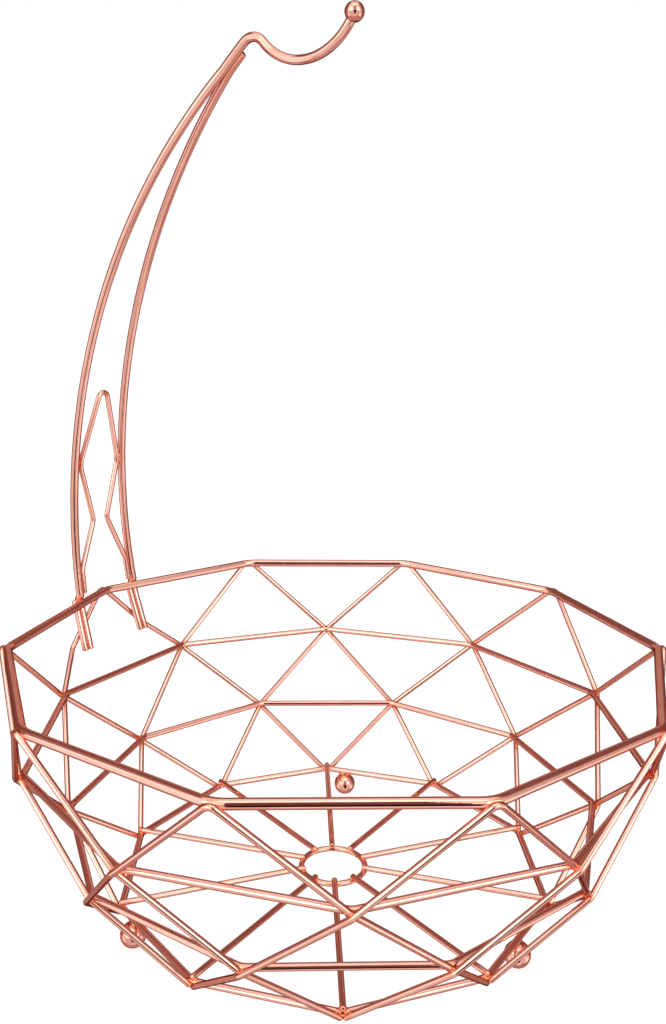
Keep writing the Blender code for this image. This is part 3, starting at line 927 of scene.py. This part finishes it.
def studio_level(tree):
    """Brightness of the studio in each direction."""
    direction = tree.nodes.new("ShaderNodeTexCoord").outputs["Generated"]
    azimuth = math.radians(CAMERA_AZIMUTH)
    to_camera = part_along(tree, direction, (math.sin(azimuth), -math.cos(azimuth), 0))
    to_right = part_along(tree, direction, (math.cos(azimuth), math.sin(azimuth), 0))
    turned = calculated(tree, "ARCTAN2", to_right, to_camera)
    around = calculated(tree, "DEGREES", turned)
    height = calculated(tree, "DEGREES", calculated(tree, "ARCSINE", part_along(tree, direction, (0, 0, 1))))
    level = DIM_ROOM
    for left, right, low, high, softness, brightness in PANELS:
        across = band(tree, around, left, right, softness)
        covered = calculated(tree, "MULTIPLY", across, band(tree, height, low, high, softness))
        level = mixed(tree, covered, level, brightness)
    sinking = calculated(tree, "COSINE", calculated(tree, "MULTIPLY", turned, SEAM_SINKS))
    above_seam = calculated(tree, "SUBTRACT", height, calculated(tree, "MULTIPLY", sinking, SEAM_TOP))
    on_seam = band(tree, above_seam, -SEAM_HALF_WIDTH, SEAM_HALF_WIDTH, SEAM_HALF_WIDTH)
    return mixed(tree, on_seam, level, SEAM_LEVEL)


def warm_colour(tree, level):
    """The colour of the studio's light at each brightness."""
    ramp = new_node(tree, "ShaderNodeValToRGB", {"Fac": level})
    elements = ramp.color_ramp.elements
    elements.remove(elements[1])
    for i, (place, colour) in enumerate(WARMTH):
        element = elements.new(place) if i else elements[0]
        element.position = place
        element.color = (*colour, 1)
    return ramp.outputs["Color"]


def add_studio_light():
    """White all round for the floor and the backdrop, and a studio for the metal to reflect.

    The studio has bright cloth walls to both sides of the camera and a bright cloth overhead, a dim room
    behind the basket, and the camera on its stand as a dark shape between the walls.
    """
    world = bpy.data.worlds.new("studio")
    bpy.context.scene.world = world
    world.use_nodes = True
    tree = world.node_tree
    tree.nodes.clear()
    level = studio_level(tree)
    studio = new_node(tree, "ShaderNodeBackground", {"Color": warm_colour(tree, level), "Strength": level})
    plain = new_node(tree, "ShaderNodeBackground", {"Color": WHITE, "Strength": PLAIN_LEVEL})
    in_metal = tree.nodes.new("ShaderNodeLightPath").outputs["Is Glossy Ray"]
    backgrounds = {"Fac": in_metal, 1: plain.outputs["Background"], 2: studio.outputs["Background"]}
    choice = new_node(tree, "ShaderNodeMixShader", backgrounds)
    new_node(tree, "ShaderNodeOutputWorld", {"Surface": choice.outputs["Shader"]})


def add_camera():
    data = bpy.data.cameras.new("camera")
    data.sensor_fit = "VERTICAL"
    data.sensor_height = SENSOR
    data.sensor_width = SENSOR
    data.lens = CAMERA_LENS
    data.clip_start = NEAREST_SEEN
    camera = bpy.data.objects.new("camera", data)
    bpy.context.scene.collection.objects.link(camera)
    turn = Matrix.Rotation(math.radians(CAMERA_AZIMUTH), 4, "Z")
    tilt = Matrix.Rotation(math.radians(90 - CAMERA_PITCH), 4, "X")
    roll = Matrix.Rotation(math.radians(CAMERA_ROLL), 4, "Z")
    camera.matrix_world = Matrix.Translation(CAMERA_PLACE) @ turn @ tilt @ roll
    bpy.context.scene.camera = camera
    bpy.context.scene.view_settings.view_transform = "Standard"


# Each plating has its colour, its colour in the deeper clouds, and its roughness.
rose_gold = plating("rose_gold", (0.93, 0.50, 0.40), (0.89, 0.45, 0.35), 0.04)
slim_rose_gold = plating("slim_rose_gold", (0.94, 0.52, 0.42), (0.90, 0.47, 0.37), 0.035)
floor_rose_gold = plating("floor_rose_gold", (0.91, 0.47, 0.37), (0.86, 0.41, 0.315), 0.05)
ball_rose_gold = plating("ball_rose_gold", (0.91, 0.46, 0.36), (0.84, 0.38, 0.285), 0.05)

noise.seed_set(WAVE_SEED)
add_rings(rose_gold)
add_lattice(slim_rose_gold)
add_lattice_welds(rose_gold)
add_floor_wires(floor_rose_gold)
add_feet(ball_rose_gold)
add_hanger(rose_gold, slim_rose_gold, ball_rose_gold)
add_floor_plane()
add_studio_light()
add_camera()
